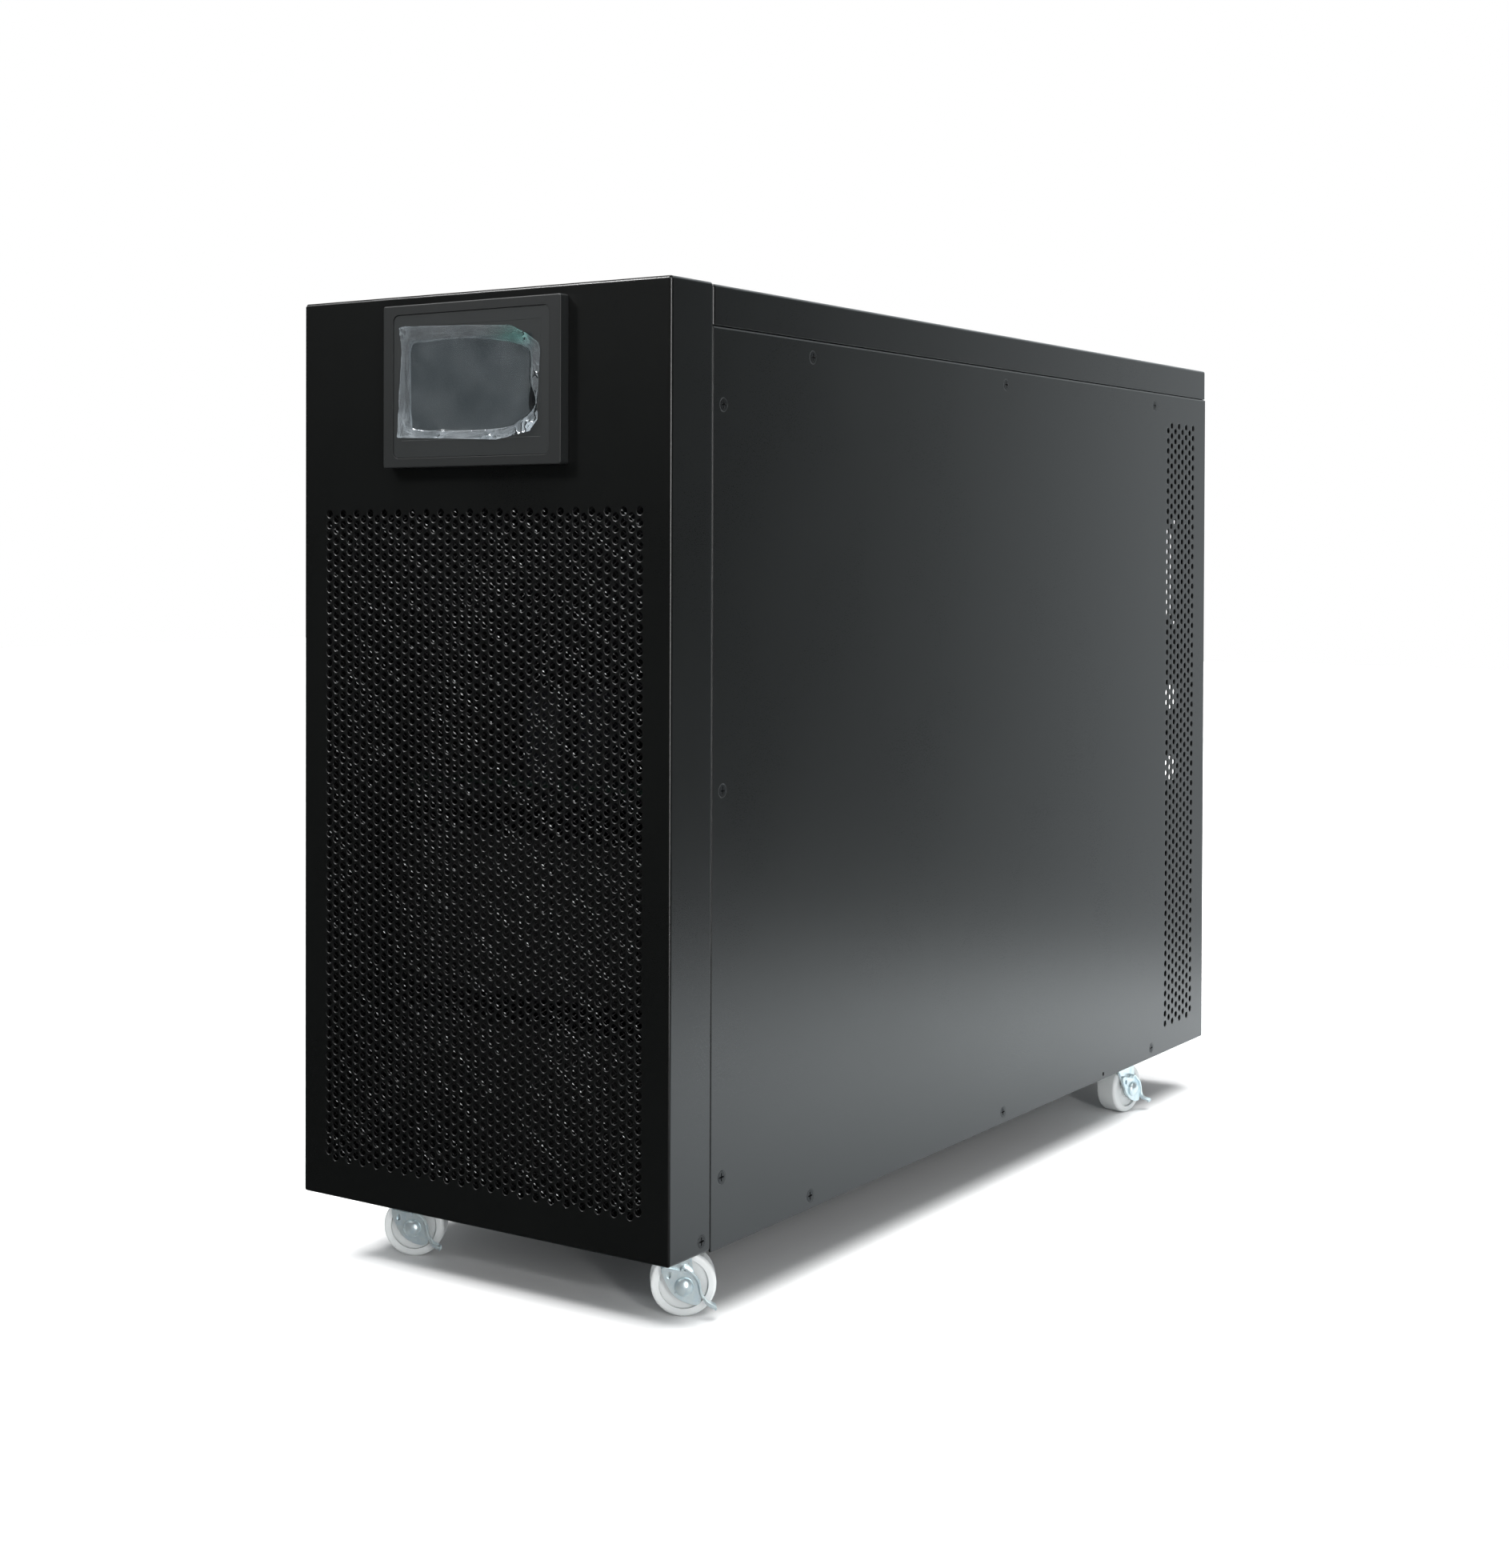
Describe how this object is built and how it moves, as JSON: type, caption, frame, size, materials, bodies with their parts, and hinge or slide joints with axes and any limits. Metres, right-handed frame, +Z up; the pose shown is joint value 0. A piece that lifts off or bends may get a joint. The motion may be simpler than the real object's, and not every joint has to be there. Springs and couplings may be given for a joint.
{
  "type": "tower battery backup cabinet",
  "caption": "Tall narrow sheet-metal cabinet with a perforated front, a raised display, vented sides and four braked swivel castors.",
  "frame": {"origin": "on the floor, under the middle of the whole object's box", "axes": "+X to the right seen from the front, +Y from the front to the rear, +Z up"},
  "size_m": [0.28, 0.795, 0.6],
  "materials": {
    "casing": "satin",
    "chassis": "satin",
    "filter_mesh": "matte",
    "black_plastic": "matte",
    "black_screws": "satin",
    "display_plastic": "satin",
    "display_overlay": "satin",
    "display_glass": "gloss",
    "circuit_board": "satin",
    "guard_wire": "satin",
    "breaker_grey": "matte",
    "breaker_lever": "satin",
    "port_caps": "matte",
    "battery_case": "matte",
    "aluminium": "satin",
    "capacitor_can": "satin",
    "copper_coil": "satin",
    "zinc_steel": "satin",
    "wheel_nylon": "satin"
  },
  "bodies": {
    "cabinet": {"front_bezel": "casing", "right_side_panel": "casing", "left_side_panel": "casing", "top_cover": "casing", "base_pan": "chassis", "inner_frame": "chassis", "dust_filter": "filter_mesh", "filter_frame": "black_plastic", "panel_screws": "black_screws", "display_housing": "display_plastic", "display_overlay": "display_overlay", "display_glass": "display_glass", "display_board": "circuit_board", "rear_panel": "casing", "upper_fan_frame": "black_plastic", "lower_fan_frame": "black_plastic", "fan_guards": "guard_wire", "input_breaker": "breaker_grey", "battery_breaker": "breaker_grey", "terminal_block": "black_plastic", "terminal_cover": "casing", "card_slot_cover": "casing", "comm_ports": "port_caps", "battery_shelf": "chassis", "electronics_shelf": "chassis", "lower_batteries": "battery_case", "upper_batteries": "battery_case", "power_board": "circuit_board", "heatsinks": "aluminium", "capacitors": "capacitor_can", "inductors": "copper_coil", "castor_bolts": "zinc_steel", "castor_front_right_plate": "zinc_steel", "castor_front_right_kingpin": "zinc_steel", "castor_front_left_plate": "zinc_steel", "castor_front_left_kingpin": "zinc_steel", "castor_rear_right_plate": "zinc_steel", "castor_rear_right_kingpin": "zinc_steel", "castor_rear_left_plate": "zinc_steel", "castor_rear_left_kingpin": "zinc_steel"},
    "front_right_fork": {"castor_front_right_fork": "zinc_steel", "castor_front_right_axle": "zinc_steel"},
    "front_right_wheel": {"castor_front_right_wheel": "wheel_nylon"},
    "front_right_brake": {"castor_front_right_brake": "zinc_steel"},
    "front_left_fork": {"castor_front_left_fork": "zinc_steel", "castor_front_left_axle": "zinc_steel"},
    "front_left_wheel": {"castor_front_left_wheel": "wheel_nylon"},
    "front_left_brake": {"castor_front_left_brake": "zinc_steel"},
    "rear_right_fork": {"castor_rear_right_fork": "zinc_steel", "castor_rear_right_axle": "zinc_steel"},
    "rear_right_wheel": {"castor_rear_right_wheel": "wheel_nylon"},
    "rear_right_brake": {"castor_rear_right_brake": "zinc_steel"},
    "rear_left_fork": {"castor_rear_left_fork": "zinc_steel", "castor_rear_left_axle": "zinc_steel"},
    "rear_left_wheel": {"castor_rear_left_wheel": "wheel_nylon"},
    "rear_left_brake": {"castor_rear_left_brake": "zinc_steel"},
    "upper_fan": {"upper_fan_rotor": "black_plastic"},
    "lower_fan": {"lower_fan_rotor": "black_plastic"},
    "input_toggle": {"input_breaker_lever": "breaker_lever"},
    "battery_toggle": {"battery_breaker_lever": "breaker_lever"}
  },
  "joints": [
    {"name": "front_right_swivel", "type": "hinge", "parent": "cabinet", "child": "front_right_fork", "pos_m": [0.103, -0.345, 0.0457], "axis": [0, 0, 1], "continuous": true},
    {"name": "front_right_roll", "type": "hinge", "parent": "front_right_fork", "child": "front_right_wheel", "pos_m": [0.11338, -0.33718, 0.01925], "axis": [0.6018, -0.7986, 0], "continuous": true},
    {"name": "front_right_brake_lever", "type": "hinge", "parent": "front_right_fork", "child": "front_right_brake", "pos_m": [0.11338, -0.33718, 0.01925], "axis": [0.6018, -0.7986, 0], "range_deg": [0, 38]},
    {"name": "front_left_swivel", "type": "hinge", "parent": "cabinet", "child": "front_left_fork", "pos_m": [-0.103, -0.345, 0.0457], "axis": [0, 0, 1], "continuous": true},
    {"name": "front_left_roll", "type": "hinge", "parent": "front_left_fork", "child": "front_left_wheel", "pos_m": [-0.09174, -0.3385, 0.01925], "axis": [0.5, -0.866, 0], "continuous": true},
    {"name": "front_left_brake_lever", "type": "hinge", "parent": "front_left_fork", "child": "front_left_brake", "pos_m": [-0.09174, -0.3385, 0.01925], "axis": [0.5, -0.866, 0], "range_deg": [0, 38]},
    {"name": "rear_right_swivel", "type": "hinge", "parent": "cabinet", "child": "rear_right_fork", "pos_m": [0.116, 0.258, 0.0457], "axis": [0, 0, 1], "continuous": true},
    {"name": "rear_right_roll", "type": "hinge", "parent": "rear_right_fork", "child": "rear_right_wheel", "pos_m": [0.11826, 0.2708, 0.01925], "axis": [0.9848, -0.1736, 0], "continuous": true},
    {"name": "rear_right_brake_lever", "type": "hinge", "parent": "rear_right_fork", "child": "rear_right_brake", "pos_m": [0.11826, 0.2708, 0.01925], "axis": [0.9848, -0.1736, 0], "range_deg": [0, 38]},
    {"name": "rear_left_swivel", "type": "hinge", "parent": "cabinet", "child": "rear_left_fork", "pos_m": [-0.116, 0.258, 0.0457], "axis": [0, 0, 1], "continuous": true},
    {"name": "rear_left_roll", "type": "hinge", "parent": "rear_left_fork", "child": "rear_left_wheel", "pos_m": [-0.11051, 0.26978, 0.01925], "axis": [0.9063, -0.4226, 0], "continuous": true},
    {"name": "rear_left_brake_lever", "type": "hinge", "parent": "rear_left_fork", "child": "rear_left_brake", "pos_m": [-0.11051, 0.26978, 0.01925], "axis": [0.9063, -0.4226, 0], "range_deg": [0, 38]},
    {"name": "upper_fan_spin", "type": "hinge", "parent": "cabinet", "child": "upper_fan", "pos_m": [-0.035, 0.3548, 0.497], "axis": [0, 1, 0], "continuous": true},
    {"name": "lower_fan_spin", "type": "hinge", "parent": "cabinet", "child": "lower_fan", "pos_m": [-0.035, 0.3548, 0.367], "axis": [0, 1, 0], "continuous": true},
    {"name": "input_switch", "type": "hinge", "parent": "cabinet", "child": "input_toggle", "pos_m": [-0.075, 0.3885, 0.236], "axis": [1, 0, 0], "range_deg": [-60, 0]},
    {"name": "battery_switch", "type": "hinge", "parent": "cabinet", "child": "battery_toggle", "pos_m": [0.005, 0.3885, 0.236], "axis": [1, 0, 0], "range_deg": [-60, 0]}
  ]
}
